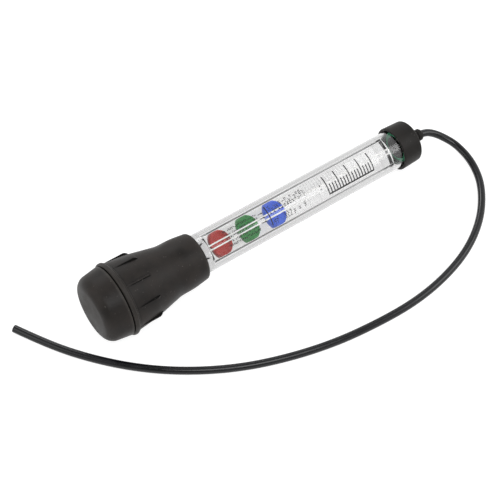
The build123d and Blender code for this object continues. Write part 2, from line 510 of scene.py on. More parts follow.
@dataclass(frozen=True)
class ClearAcrylic:
    """Injection-moulded acrylic, polished in the mould, so that it refracts like thick glass.

    Faint scuffs dull its gloss, the mould's flow bends its lines, and its thickness dims it.
    """

    name: str = "clear_moulded_acrylic"
    loss_per_mm: float = 0.013
    scuff_mm: float = 2.5
    # Between these values of its noise a scuff dulls the gloss.
    scuffed: tuple[float, float] = (0.5, 0.75)
    scuff_roughness: float = 0.03
    ripple_mm: float = 8.0
    ripple_height_mm: float = 0.0008

    def material(self) -> Material:
        """Builds the material.

        Returns:
            The material, whose loss lies in its volume.
        """
        made, tree, place = blank_material(self.name)
        scuffs, ripples = (
            add_node(tree, "TexNoise", {"Vector": place, "Scale": 1 / (size * MM), "Detail": detail})
            for size, detail in ((self.scuff_mm, 6.0), (self.ripple_mm, 1.0))
        )
        low, high = self.scuffed
        dulled = add_node(
            tree,
            "MapRange",
            {"Value": scuffs, "From Min": low, "From Max": high, "To Max": self.scuff_roughness},
        )
        bump = add_node(
            tree, "Bump", {"Height": ripples, "Distance": self.ripple_height_mm * MM, "Strength": 1.0}
        )
        shader = add_node(
            tree,
            "BsdfPrincipled",
            {
                "Base Color": linear("#ffffff"),
                "Roughness": dulled,
                "IOR": ACRYLIC_IOR,
                "Transmission Weight": 1.0,
                "Normal": bump,
            },
        )
        loss = add_node(
            tree, "VolumeAbsorption", {"Color": linear("#000000"), "Density": self.loss_per_mm / MM}
        )
        add_node(tree, "OutputMaterial", {"Surface": shader, "Volume": loss})
        return made


@dataclass(frozen=True)
class PaintedRibHighlight:
    """The crests of the barrel's ribs, painted white as a painted highlight of the light that the
    ribs catch.

    The crests also glow faintly, a painted glow, though they are no lamp. Their scratches vary
    how matte they are.
    """

    name: str = "painted_rib_highlight"
    # The white of the painted highlight on the crests, and the strength of their painted glow.
    colour: str = "#f6f6f4"
    painted_glow: float = 0.3
    scratch_mm: float = 0.6
    roughness: tuple[float, float] = (0.45, 0.85)

    def material(self) -> Material:
        """Builds the material.

        Returns:
            The material.
        """
        made, tree, place = blank_material(self.name)
        scratches = add_node(
            tree, "TexNoise", {"Vector": place, "Scale": 1 / (self.scratch_mm * MM), "Detail": 3.0}
        )
        matte = add_node(
            tree, "MapRange", {"Value": scratches, "To Min": self.roughness[0], "To Max": self.roughness[1]}
        )
        shader = add_node(
            tree,
            "BsdfPrincipled",
            {
                "Base Color": linear(self.colour),
                "Roughness": matte,
                "IOR": ACRYLIC_IOR,
                "Emission Color": linear(self.colour),
                "Emission Strength": self.painted_glow,
            },
        )
        add_node(tree, "OutputMaterial", {"Surface": shader})
        return made


@dataclass(frozen=True)
class MouldedPlastic:
    """Injection-moulded opaque plastic, satin from its mould, slightly streaked in its pigment.

    Fine scratches from the barrel's ribs roughen its gloss.
    """

    name: str
    colour: str
    roughness: float = 0.38
    streak_mm: float = 3.0
    streak: float = 0.07
    scratch_mm: float = 0.4

    def material(self) -> Material:
        """Builds the material.

        Returns:
            The material.
        """
        made, tree, place = blank_material(self.name)
        streaks, scratches = (
            add_node(tree, "TexNoise", {"Vector": place, "Scale": 1 / (size * MM), "Detail": detail})
            for size, detail in ((self.streak_mm, 3.0), (self.scratch_mm, 2.0))
        )
        value = add_node(
            tree, "MapRange", {"Value": streaks, "To Min": 1 - self.streak, "To Max": 1 + self.streak}
        )
        streaked = add_node(tree, "HueSaturation", {"Color": linear(self.colour), "Value": value})
        smooth, rough = self.roughness - SMOOTHER, self.roughness + DULLER
        rubbed = add_node(tree, "MapRange", {"Value": scratches, "To Min": smooth, "To Max": rough})
        shader = add_node(tree, "BsdfPrincipled", {"Base Color": streaked, "Roughness": rubbed})
        add_node(tree, "OutputMaterial", {"Surface": shader})
        return made


@dataclass(frozen=True)
class ScreenInk:
    """Screen-printed black ink: a thin matte film whose mesh leaves it faintly uneven."""

    name: str = "black_screen_ink"
    colour: str = "#101010"
    thin: str = "#2a2a2a"
    roughness: float = 0.55
    # The real mesh is 0.08 mm, which would never show, so the film varies over 0.4 mm.
    mesh_mm: float = 0.4

    def material(self) -> Material:
        """Builds the material.

        Returns:
            The material.
        """
        made, tree, place = blank_material(self.name)
        film = add_node(tree, "TexNoise", {"Vector": place, "Scale": 1 / (self.mesh_mm * MM), "Detail": 1.0})
        mixed = {0: film, 6: linear(self.colour), 7: linear(self.thin)}
        inked = add_node(tree, "Mix", mixed, MIXED_COLOUR, data_type="RGBA")
        shader = add_node(tree, "BsdfPrincipled", {"Base Color": inked, "Roughness": self.roughness})
        add_node(tree, "OutputMaterial", {"Surface": shader})
        return made


Finish = MouldedRubber | ClearAcrylic | PaintedRibHighlight | MouldedPlastic | ScreenInk


def dress(piece: Piece, finishes: list[Finish], body: Body, node: str | None = None) -> None:
    """Gives a piece its materials and its body, and hides the solid that it stands for.

    Args:
        piece: the piece.
        finishes: its finishes, in the order of its faces' slots.
        body: the body that it rides on.
        node: the solid that it stands for, if there is one.
    """
    for finish in finishes:
        piece.data.materials.append(finish.material())
    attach(piece, body.value)
    if node:
        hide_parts(node)
    log.info("%s rides on %s", piece.name, body.value)


# ---- Studio --------------------------------------------------------------------------------


@dataclass
class Studio:
    """A light table under the tool, white surroundings that dim overhead, and soft lamps."""

    camera_at: Spot = (-281.3, -384.22, 689.91)
    looks_along: Spot = (0.322048, 0.457604, -0.828785)
    lens: float = 97.2
    floor_size: float = 6000.0
    floor_under_glow: str = "#a8a8a8"
    floor_plain: str = "#e6e6e6"
    glow_shown: float = 0.8
    glow: float = 0.74
    glow_within: float = 0.8
    table_reach: tuple[float, float] = (130.0, 420.0)
    table_rim: float = 0.3
    dark_side: Spot = (-0.27, -0.3, 0.92)
    dark_from: float = 0.4
    overhead: float = 0.09
    overhead_within: float = 0.5
    ambient: float = 0.55
    lamps: tuple[tuple[str, Spot, float, float], ...] = (
        ("left_softbox", (-620.0, 120.0, 520.0), 500.0, 1.0),
        ("right_softbox", (520.0, -380.0, 560.0), 500.0, 1.8),
        ("back_softbox", (80.0, 700.0, 620.0), 320.0, 1.3),
        ("top_softbox", (-120.0, -380.0, 780.0), 450.0, 2.6),
    )

    def aim(self, name: str, data: bpy.types.ID, place: Spot, heading: Spot) -> Piece:
        """Stands a camera or a lamp in the scene.

        Args:
            name: its name.
            data: the camera or the lamp itself.
            place: where it stands.
            heading: the way it looks.

        Returns:
            Its object.
        """
        made = bpy.data.objects.new(name, data)
        bpy.context.scene.collection.objects.link(made)
        made.location = Vector(place) * MM
        made.rotation_mode = "QUATERNION"
        made.rotation_quaternion = Vector(heading).to_track_quat("-Z", "Y")
        return made

    def build_camera(self) -> None:
        """Places the camera, level with the horizon."""
        data = bpy.data.cameras.new("camera")
        data.lens = self.lens
        data.clip_start, data.clip_end = 0.01, 50.0
        bpy.context.scene.camera = self.aim("camera", data, self.camera_at, self.looks_along)

    def build_floor(self) -> None:
        """Lays the floor.

        It glows for the rays that show the background, under its own shading. For rays that the
        clear barrel or a gloss bends aside, the glow fades away from the tool as a light table's
        does, which draws grey lines along clear walls.
        """
        surface = Surface()
        corner_shares = np.array([[-1, -1, 0], [1, -1, 0], [1, 1, 0], [-1, 1, 0]])
        surface.add(corner_shares * self.floor_size / 2, np.array([[0, 1, 2, 3]]))
        floor = surface.piece("floor")
        made, tree, place = blank_material("pale_studio_floor")
        away = add_node(tree, "VectorMath", {0: place}, "Value", operation="LENGTH")
        bent = add_node(tree, "LightPath", output="Is Transmission Ray")
        direct = add_node(tree, "LightPath", output="Is Camera Ray")
        table = add_node(tree, "MapRange", {"Value": bent, "To Min": self.glow, "To Max": self.glow_within})
        near, far = (reach * MM for reach in self.table_reach)
        rim = self.glow * self.table_rim
        fading = add_node(
            tree,
            "MapRange",
            {"Value": away, "From Min": near, "From Max": far, "To Min": table, "To Max": rim},
        )
        seen = add_node(tree, "MapRange", {"Value": direct, "To Max": self.glow_shown})
        strength = add_node(tree, "Math", {0: seen, 1: fading}, operation="MAXIMUM")
        matte, plain = (
            add_node(tree, "BsdfDiffuse", {"Color": linear(colour)})
            for colour in (self.floor_under_glow, self.floor_plain)
        )
        glow = add_node(tree, "Emission", {"Color": linear("#ffffff"), "Strength": strength})
        lit = add_node(tree, "AddShader", {0: matte, 1: glow})
        both = add_node(tree, "MixShader", {0: bent, 1: lit, 2: glow})
        shown = add_node(tree, "MixShader", {0: background_ray(tree), 1: plain, 2: both})
        add_node(tree, "OutputMaterial", {"Surface": shown})
        floor.data.materials.append(made)

    def build_light(self) -> None:
        """Sets the white surroundings, which dim overhead, and the soft lamps."""
        world = bpy.data.worlds.new("surroundings")
        world.use_nodes = True
        tree = world.node_tree
        tree.nodes.clear()
        heading = add_node(tree, "TexCoord", output="Generated")
        facing = add_node(
            tree, "VectorMath", {0: heading, 1: self.dark_side}, "Value", operation="DOT_PRODUCT"
        )
        bent = add_node(tree, "LightPath", output="Is Transmission Ray")
        top = add_node(
            tree, "MapRange", {"Value": bent, "To Min": self.overhead, "To Max": self.overhead_within}
        )
        sky = add_node(
            tree,
            "MapRange",
            {"Value": facing, "From Min": self.dark_from, "From Max": 1.0, "To Min": 1.0, "To Max": top},
        )
        shown, soft = (
            add_node(tree, "Background", {"Color": linear("#ffffff"), "Strength": strength})
            for strength in (sky, self.ambient)
        )
        both = add_node(tree, "MixShader", {0: background_ray(tree), 1: soft, 2: shown})
        add_node(tree, "OutputWorld", {"Surface": both})
        bpy.context.scene.world = world
        for name, place, size, power in self.lamps:
            data = bpy.data.lights.new(name, "AREA")
            data.size = size * MM
            data.energy = power
            self.aim(name, data, place, tuple(-Vector(place)))


def background_ray(tree: Tree) -> Socket:
    """1 for the rays that show the background: from the camera, a gloss or a clear solid.

    Args:
        tree: the node tree that it is worked out in.

    Returns:
        The socket that gives it.
    """
    shown = add_node(tree, "LightPath", output="Is Camera Ray")
    for kind in ("Is Glossy Ray", "Is Transmission Ray"):
        ray = add_node(tree, "LightPath", output=kind)
        shown = add_node(tree, "Math", {0: shown, 1: ray}, operation="MAXIMUM")
    return shown


# ---- Pick-up hose --------------------------------------------------------------------------


@dataclass
class PickUpHose:
    """Limp black hose from the nozzle to its plain cut end, laid on the floor."""

    radius: float = 2.4
    bore: float = 1.5
    length: float = 421.4
    lip: float = 0.25
    bore_shown: float = 25.0
    bore_steps: int = 20
    sides: int = 48
    route: tuple[Spot, ...] = (
        (118.09, 0.0, 13.578), (125.482, 0.0, 13.253), (132.6, -3.3, 10.2), (137.4, -9.5, 7.6),
        (140.0, -14.8, 6.1), (140.9, -19.8, 5.2), (141.3, -26.2, 4.3), (140.0, -34.9, 3.6),
        (135.8, -46.0, 3.0), (127.8, -57.2, 2.6), (116.8, -68.1, 2.4), (101.4, -78.2, 2.4),
        (84.0, -85.4, 2.4), (62.9, -90.3, 2.4), (40.9, -92.2, 2.4), (15.0, -90.7, 2.4), (-11.7, -87.0, 2.4),
        (-39.6, -79.5, 2.4), (-66.9, -68.6, 2.4), (-93.3, -52.8, 2.4), (-115.5, -34.3, 2.4),
        (-134.7, -12.7, 2.4), (-149.9, 9.6, 2.4), (-160.4, 29.9, 2.4),
    )

    def centreline(self) -> np.ndarray:
        """Works out the smooth NURBS spline that the route's points control.

        Returns:
            The points of its smooth line.
        """
        data = bpy.data.curves.new("hose_route", "CURVE")
        data.dimensions = "3D"
        spline = data.splines.new("NURBS")
        spline.points.add(len(self.route) - 1)
        weighted = np.column_stack([np.array(self.route) * MM, np.ones(len(self.route))])
        spline.points.foreach_set("co", weighted.ravel())
        spline.order_u = 3
        spline.use_endpoint_u = True
        spline.resolution_u = 16
        line = bpy.data.objects.new("hose_route", data)
        bpy.context.scene.collection.objects.link(line)
        mesh = bpy.data.meshes.new_from_object(line)
        points = np.empty(len(mesh.vertices) * 3)
        mesh.vertices.foreach_get("co", points)
        bpy.data.objects.remove(line)
        bpy.data.meshes.remove(mesh)
        return points.reshape(-1, 3) / MM

    def profile(self, along: np.ndarray) -> np.ndarray:
        """The hose's half section: the outside, the cut end with its bore, and the bore's end.

        Args:
            along: the distances of the smooth line's points.

        Returns:
            Distances and radii.
        """
        total = along[-1]
        end = total - self.bore_shown
        plain = along[along < total - 3 * self.lip]
        outside = np.column_stack([plain, np.full(len(plain), self.radius)])
        corners = [
            (total - 2 * self.lip, self.radius, 0.0),
            (total, self.radius, self.lip),
            (total, self.bore, self.lip / 2),
            (total - 2 * self.lip, self.bore, 0.0),
        ]
        cut = rounded(corners)
        deeper = np.linspace(total - 4 * self.lip, end, self.bore_steps)
        inside = np.column_stack([deeper, np.full(self.bore_steps, self.bore)])
        return np.vstack([[0.0, 0.0], outside, cut, inside, [end, 0.0]])

    def build(self) -> None:
        """Builds the hose.

        A profile of distance d and radius r is carried along the centreline. Its ring at d is
        the line's point there, plus r cos a sideways and r sin a upwards, both square to it.
        """
        line = self.centreline()
        steps = np.linalg.norm(np.diff(line, axis=0), axis=1)
        along = np.concatenate([[0.0], np.cumsum(steps)])
        profile = self.profile(along)
        distance = profile[:, 0]
        centre = np.stack([np.interp(distance, along, line[:, k]) for k in range(3)], axis=-1)
        headings = np.gradient(line, along, axis=0)
        heading = np.stack([np.interp(distance, along, headings[:, k]) for k in range(3)], axis=-1)
        heading /= np.linalg.norm(heading, axis=1, keepdims=True)
        sideways = np.cross(np.array([0.0, 0.0, 1.0]), heading)
        sideways /= np.linalg.norm(sideways, axis=1, keepdims=True)
        upwards = np.cross(heading, sideways)
        angles = even_angles(self.sides)[None, :, None]
        radius = profile[:, 1][:, None, None]
        ring = np.cos(angles) * sideways[:, None, :] + np.sin(angles) * upwards[:, None, :]
        surface = Surface()
        surface.add_grid(centre[:, None, :] + radius * ring)
        made = surface.piece("pick_up_hose", sharp=40.0)
        rubber = MouldedRubber(
            "extruded_hose_rubber",
            "#07080b",
            "#0c0d12",
            roughness=0.22,
            gloss=0.45,
            grain_mm=0.8,
            grain_height_mm=0.004,
            speck_share=0.86,
        )
        dress(made, [rubber], Body.CAP, "hose")
        log.info("hose: %.1f mm long on its smooth line", along[-1])


# ---- Squeeze bulb --------------------------------------------------------------------------


@dataclass
class SqueezeBulb:
    """Moulded rubber bulb with a bead ring, a slit before it, and nine thin grip fins."""

    length: float = 73.3
    wall: float = 2.8
    end_radius: float = 20.2
    end_rounding: float = 6.8
    dome_radius: float = 22.4
    ring_start: float = 15.9
    ring_end: float = 18.9
    step_end: float = 19.6
    ring_radius: float = 23.4
    step_radius: float = 22.6
    groove_width: float = 0.7
    groove_depth: float = 1.0
    groove_slope: float = 0.08
    groove_rounding: float = 0.12
    slit_rounding: float = 0.25
    ring_rounding: float = 1.1
    step_rounding: float = 0.3
    foot_rounding: float = 0.1
    body_radius: float = 22.1
    shoulder: Corner = (33.45, 20.7, 23.0)
    neck: Corner = (52.4, 16.55, 19.0)
    collar: Corner = (61.97, 16.45, 52.0)
    mouth_radius: float = 15.0
    mouth_rounding: float = 2.3
    hollow_shoulder_rounding: float = 20.0
    hollow_neck_rounding: float = 15.0
    hollow_end_rounding: float = 4.0
    sleeve: float = 12.55
    socket_floor: float = 59.3
    lip: float = 56.3
    lip_radius: float = 9.0
    fins: int = 9
    fin_half: float = 0.6
    fin_side: float = 0.12
    fin_radius: float = 22.15
    fin_end: float = 36.62
    fin_nose: float = 4.0
    fin_phase: float = 20.5
    # Distances from a fin's middle plane at which the grid has lines.
    fin_lines: tuple[float, ...] = (0.0, 0.25, 0.4, 0.48, 0.54, 0.6, 0.66, 0.72, 0.85, 1.1, 1.5, 2.1)
    plain_lines: int = 14
    # The painted shade beside a fin's foot, how fast it fades, and the lift and side that fill it.
    foot_shade: float = 0.75
    foot_fade: float = 0.5
    full_lift: float = 0.5
    side_fade: float = 0.08
    pace: float = 1.6
    nose_pace: float = 0.2
    nose_margin: float = 0.3
    # How far past the step the crests, and the body's finer rows, start.
    crest_skip: float = 0.02
    row_skip: float = 0.5

    def outside(self) -> np.ndarray:
        """Outline from the end face's middle to the mouth, before the fins rise from it.

        Returns:
            Stations and radii.
        """
        slit = self.ring_start - self.groove_width
        floor = self.dome_radius - self.groove_depth
        corners = [
            (0.0, 0.0, 0.0),
            (0.0, self.end_radius, self.end_rounding),
            (slit, self.dome_radius, self.slit_rounding),
            (slit + self.groove_slope, floor, self.groove_rounding),
            (self.ring_start, floor, self.groove_rounding),
            (self.ring_start, self.ring_radius, self.ring_rounding),
            (self.ring_end, self.ring_radius, self.ring_rounding),
            (self.ring_end, self.step_radius, 0.0),
            (self.step_end, self.step_radius, self.step_rounding),
            (self.step_end, self.body_radius, self.foot_rounding),
            self.shoulder,
            self.neck,
            self.collar,
            (self.length, self.mouth_radius, self.mouth_rounding),
            (self.length, self.sleeve, 0.0),
        ]
        return rounded(corners, steps=10)

    def inside(self) -> np.ndarray:
        """Outline from the mouth back through the socket and the hollow to its end wall.

        Returns:
            Stations and radii.
        """
        corners = [
            (self.length, self.sleeve, 0.0),
            (self.socket_floor, self.sleeve, 0.0),
            (self.socket_floor, self.lip_radius, 0.0),
            (self.lip, self.lip_radius, 0.0),
            (self.lip, self.neck[1] - self.wall, 0.0),
            (self.neck[0], self.neck[1] - self.wall, self.hollow_neck_rounding),
            (self.shoulder[0], self.shoulder[1] - self.wall, self.hollow_shoulder_rounding),
            (self.step_end, self.body_radius - self.wall, 0.0),
            (self.ring_start, self.dome_radius - self.wall, 0.0),
            (self.wall, self.end_radius - self.wall, self.hollow_end_rounding),
            (self.wall, 0.0, 0.0),
        ]
        return rounded(corners, steps=8)

    def turns(self) -> np.ndarray:
        """Angles of the grid's lines, which stand close together over the fins' edges.

        Returns:
            The angles from the first fin's middle plane.
        """
        near = np.array(self.fin_lines) / self.body_radius
        near = np.concatenate([-near[:0:-1], near])
        far = np.linspace(near[-1], FULL_TURN / self.fins - near[-1], self.plain_lines)[1:-1]
        sector = np.concatenate([near, far])
        first = np.arange(self.fins) * FULL_TURN / self.fins
        return (first[:, None] + sector[None, :]).ravel()

    def finned(self, outline: np.ndarray, turn: np.ndarray) -> tuple[np.ndarray, np.ndarray]:
        """Radius and relief of the rubber where the fins rise from the body.

        A fin's crest lies at a steady radius and ends in a quarter circle. It stands on the body
        where the distance from the fin's middle plane is under its half width, and a smooth step
        leads down its sides. The relief falls to -1 on a fin's sides and fades over the
        millimetre beside its foot, in proportion to the fin's height. This part of the relief is
        painted shade on the fins' sides and beside their feet.

        Args:
            outline: station and body radius of the grid's rows.
            turn: angle of each of the grid's lines.

        Returns:
            The radii and the relief, both of shape (rows, lines).
        """
        station, body = outline[:, 0], outline[:, 1]
        past = np.clip(station - (self.fin_end - self.fin_nose), 0, self.fin_nose)
        crest = self.fin_radius - self.fin_nose + np.sqrt(self.fin_nose**2 - past**2)
        crest = np.where((station > self.step_end + self.crest_skip) & (station < self.fin_end), crest, 0)
        lift = np.maximum(crest - body, 0)[:, None]
        pitch = FULL_TURN / self.fins
        away = np.abs((turn + pitch / 2) % pitch - pitch / 2)[None, :] * self.body_radius
        rise = np.clip((self.fin_half + self.fin_side - away) / (2 * self.fin_side), 0, 1)
        rise = rise * rise * (3 - 2 * rise)
        side = np.clip((away - self.fin_half + self.fin_side) / self.side_fade, 0, 1)
        beyond = np.clip(away - self.fin_half - self.fin_side, 0, None)
        foot = np.where(beyond > 0, self.foot_shade * np.exp(-beyond / self.foot_fade), 1.0)
        # Painted shade on the fin's sides, fading beside its foot.
        painted_shade = side * foot * np.clip(lift / self.full_lift, 0, 1)
        relief = outline_relief(outline, False)[:, None]
        return body[:, None] + lift * rise, np.minimum(relief * (1 - painted_shade), relief - painted_shade)

    def build(self) -> None:
        """Builds the bulb as one closed skin: the finned outside, then the hollow inside."""
        outline = finer(self.outside(), self.pace)
        nose_start = self.fin_end - self.fin_nose - self.nose_margin
        nose = np.arange(nose_start, self.fin_end + self.nose_margin, self.nose_pace)
        body = outline[:, 0] > self.step_end + self.row_skip
        extra = np.column_stack([nose, np.interp(nose, outline[body, 0], outline[body, 1])])
        at, end = np.searchsorted(outline[body, 0], nose[[0, -1]]) + np.argmax(body)
        outline = np.vstack([outline[:at], extra, outline[end:]])
        turn = self.turns()
        radius, relief = self.finned(outline, turn)
        angles = turn - math.radians(self.fin_phase)
        station = np.broadcast_to(outline[:, :1], radius.shape)
        shell = np.stack([station, radius * np.sin(angles), radius * np.cos(angles)], axis=-1)
        hollow = ring_rows(self.inside()[1:], angles)
        rows = AXIS.place(np.concatenate([shell, hollow]), rolled=False)
        surface = Surface()
        surface.add_grid(rows, relief=np.vstack([relief, np.zeros(hollow.shape[:2])]))
        made = surface.piece("rubber_bulb", sharp=38.0)
        # Its bare edges get wear with a painted highlight, its crevices and fin sides painted shade.
        rubber = MouldedRubber("moulded_bulb_rubber", "#151210", "#282320")
        dress(made, [rubber], Body.BULB, "squeeze_bulb")


# ---- Clear barrel and its print ------------------------------------------------------------


@dataclass
class Barrel:
    """Clear moulded tube: a guide channel inside, a throat to the bulb, a recess for the stopper."""

    start: float = 59.3
    end: float = 232.4
    radius: float = 12.5
    edge: float = 0.4
    channel_start: float = 79.3
    recess_start: float = 214.3
    throat_radius: float = 3.2
    funnel: float = 4.5
    funnel_radius: float = 5.4
    funnel_rounding: float = 1.0
    mouth_rounding: float = 0.3
    recess_radius: float = 10.4
    side: float = 7.2
    face: float = 6.4
    rib_near: float = 0.75
    rib_far: float = 1.45
    rib_height: float = 0.6
    ledge: float = 1.7
    ledge_top: float = 2.1
    ledge_foot: float = 1.1
    channel_rounding: float = 0.5
    fine_rounding: float = 0.12
    crest_margin: float = 0.1
    sides: int = 240

    def section(self) -> np.ndarray:
        """Works out the channel's outline across the tool, with its two ribs and two ledges.

        Returns:
            Distances across and heights.
        """
        side, face, fine = self.side, self.face, self.fine_rounding
        crest = face - self.rib_height
        right = [
            (self.rib_near, face, fine),
            (self.rib_near, crest, fine),
            (self.rib_far, crest, fine),
            (self.rib_far, face, fine),
            (side, face, self.channel_rounding),
            (side, self.ledge_top, fine),
            (side - self.ledge, self.ledge_top, fine),
            (side - self.ledge, self.ledge_foot, fine),
            (side, self.ledge_foot, fine),
            (side, -face, self.channel_rounding),
        ]
        left = [(-across, height, radius) for across, height, radius in reversed(right)]
        return rounded(right + left, closed=True, steps=4)

    def rib_highlight_slots(self, loop: np.ndarray) -> np.ndarray:
        """Finds the spans of the section that lie on a rib's crest.

        Args:
            loop: the section.

        Returns:
            For each span the slot of its finish: 1 on a crest, which gets the painted highlight, 0 on the
                clear wall.
        """
        after = np.roll(loop, -1, axis=0)
        limit = self.face - self.rib_height + self.crest_margin
        middle = np.abs(loop[:, 0]) < self.rib_far + self.crest_margin / 2
        low = (loop[:, 1] < limit) & (after[:, 1] < limit) & (loop[:, 1] > 0)
        return (middle & low).astype(int)

    def build(self) -> None:
        """Builds the barrel as one closed skin round its wall."""
        corners = [
            (self.recess_start, self.recess_radius, 0.0),
            (self.end, self.recess_radius, self.mouth_rounding),
            (self.end, self.radius, self.edge),
            (self.start, self.radius, self.edge),
            (self.start, self.throat_radius, self.mouth_rounding),
            (self.channel_start - self.funnel, self.throat_radius, self.funnel_rounding),
            (self.channel_start, self.funnel_radius, 0.0),
        ]
        profile = rounded(corners)
        rings = ring_rows(profile, even_angles(self.sides))
        loop = self.section()
        near, far = (
            np.column_stack([np.full(len(loop), station), loop])
            for station in (self.channel_start, self.recess_start)
        )
        surface = Surface()
        surface.add_grid(AXIS.place(rings))
        surface.add_grid(AXIS.place(np.stack([near, far])), slots=self.rib_highlight_slots(loop))
        surface.add_flat(AXIS.place(near), AXIS.place(rings[-1]))
        surface.add_flat(AXIS.place(rings[0]), AXIS.place(far))
        made = surface.piece("clear_barrel", sharp=30.0)
        # The ribs' crests get the painted highlight and its painted glow.
        dress(made, [ClearAcrylic(), PaintedRibHighlight()], Body.BARREL, "barrel")


@dataclass
class BarrelPrint:
    """Plain generic marks printed on the barrel: rows of strokes, arrows, a line and a scale."""

    radius: float = 12.5
    film: float = 0.03
    stroke: float = 0.5
    pace: float = 1.1
    height: float = 1.4
    spans: int = 24
    draw: int = 4
    dash: float = 0.26
    dash_width: float = 0.4
    dash_places: tuple[float, ...] = (0.0, 0.4, 0.78)
    bare_share: float = 0.16
    undashed_share: float = 0.4
    # Each kind of bar from and to, as shares of the row's height.
    bars: tuple[tuple[float, float], ...] = ((0.0, 1.0), (0.0, 1.0), (0.0, 0.55), (0.45, 1.0))
    text_start: float = 89.9
    text_ends: tuple[float, float] = (112.2, 114.6)
    lines: tuple[float, ...] = (4.6, 2.3, 0.0, -2.4, -4.8)
    # Rows across the tool: their stations, where they start, and between what they end.
    columns: tuple[tuple[tuple[float, ...], float, tuple[float, float]], ...] = (
        (
            (122.6, 124.6, 126.6, 128.6, 130.6, 133.0, 135.0, 137.0, 139.0, 141.2, 143.4, 145.4, 147.4),
            0.7,
            (5.2, 6.8),
        ),
        ((122.6, 124.6, 130.6, 132.6, 134.6, 137.4, 141.2, 145.4), -6.3, (-2.4, -0.8)),
    )
    arrows: tuple[float, ...] = (3.7, 0.8, -1.9)
    arrow_head: tuple[float, float, float] = (117.2, 118.6, 0.6)
    # The arrows' shafts, the line, two dots and the scale's foot: stations, then places across.
    plain: tuple[tuple[float, float, float, float], ...] = (
        (114.9, 117.2, 3.48, 3.92),
        (114.9, 117.2, 0.58, 1.02),
        (114.9, 117.2, -2.12, -1.68),
        (120.8, 121.5, -6.3, 6.6),
        (159.3, 160.1, 0.9, 1.7),
        (159.3, 160.1, -1.4, -0.6),
        (163.6, 198.75, -6.7, -5.7),
    )
    scale_start: float = 163.6
    scale_end: float = 198.1
    scale_foot: float = -5.8
    tick_pitch: float = 2.15
    tick: float = 0.75
    tall_every: int = 4
    tall_tick: float = 11.8
    short_tick: float = 5.6

    def strokes(self, seed: np.random.Generator, start: float, end: float) -> np.ndarray:
        """A row of plain bars in groups, which spells nothing.

        Each bar stands at a steady pace, as tall as the row or half as tall, and some have a
        short dash beside them. Every sixth place or so is left bare.

        Args:
            seed: the source of its choices.
            start: where the row starts along itself.
            end: where it ends.

        Returns:
            For each mark its start and end along the row, and its lowest and highest share of
            the row's height.
        """
        places = np.arange(start, end - self.pace, self.pace)
        places = places[seed.uniform(size=len(places)) > self.bare_share]
        span = np.array(self.bars)[seed.integers(len(self.bars), size=len(places))]
        bars = np.column_stack([places, places + self.stroke, span])
        dashed = places[seed.uniform(size=len(places)) > self.undashed_share] + self.stroke
        low = seed.choice(self.dash_places, size=len(dashed))
        dashes = np.column_stack([dashed, dashed + self.dash_width, low, low + self.dash])
        return np.vstack([bars, dashes])

    def marks(self) -> np.ndarray:
        """Gathers the rows of strokes, the scale, the plain marks and the arrows' heads.

        Returns:
            For each mark its stations from and to, its places across from and to, and 1 where
            its far end narrows.
        """
        seed = np.random.default_rng(self.draw)
        made = []
        for across in self.lines:
            row = self.strokes(seed, self.text_start, seed.uniform(*self.text_ends))
            heights = across + (row[:, 2:] - 0.5) * self.height
            made.append(np.column_stack([row[:, :2], heights]))
        for places, start, ends in self.columns:
            for station in places:
                row = self.strokes(seed, start, seed.uniform(*ends))
                stations = station + row[:, 2:] * self.height
                made.append(np.column_stack([stations, row[:, :2]]))
        ticks = np.arange(self.scale_start, self.scale_end, self.tick_pitch)
        tall = np.where(np.arange(len(ticks)) % self.tall_every == 0, self.tall_tick, self.short_tick)
        foot = np.full(len(ticks), self.scale_foot)
        made.append(np.column_stack([ticks, ticks + self.tick, foot, foot + tall]))
        made.append(np.array(self.plain))
        straight = np.vstack(made)
        start, end, half = self.arrow_head
        heads = [(start, end, across - half, across + half) for across in self.arrows]
        tapers = np.append(np.zeros(len(straight)), np.ones(len(heads)))
        return np.column_stack([np.vstack([straight, heads]), tapers])

    def build(self) -> None:
        """Builds the ink.

        A mark's point at station s and distance across w lies on the barrel's round surface at
        the angle w / radius, so a mark keeps its size as it bends with the wall. An arrow's far
        end narrows to its middle.
        """
        marks = self.marks()
        shares = np.linspace(0, 1, self.spans + 1)
        low, high, taper = marks[:, 2:3], marks[:, 3:4], marks[:, 4:5]
        narrowed = shares * (1 - taper) + taper / 2
        across = low + (high - low) * np.stack([np.broadcast_to(shares, narrowed.shape), narrowed])
        angle = across / self.radius
        outer = self.radius + self.film
        station = np.broadcast_to(marks[:, :2].T[:, :, None], angle.shape)
        points = np.stack([station, outer * np.sin(angle), outer * np.cos(angle)], axis=-1)
        surface = Surface()
        for index in range(len(marks)):
            surface.add_grid(AXIS.place(points[:, index]), round_trip=False)
        made = surface.piece("printed_marks", sharp=60.0)
        dress(made, [ScreenInk()], Body.BARREL)


# ---- Floats --------------------------------------------------------------------------------


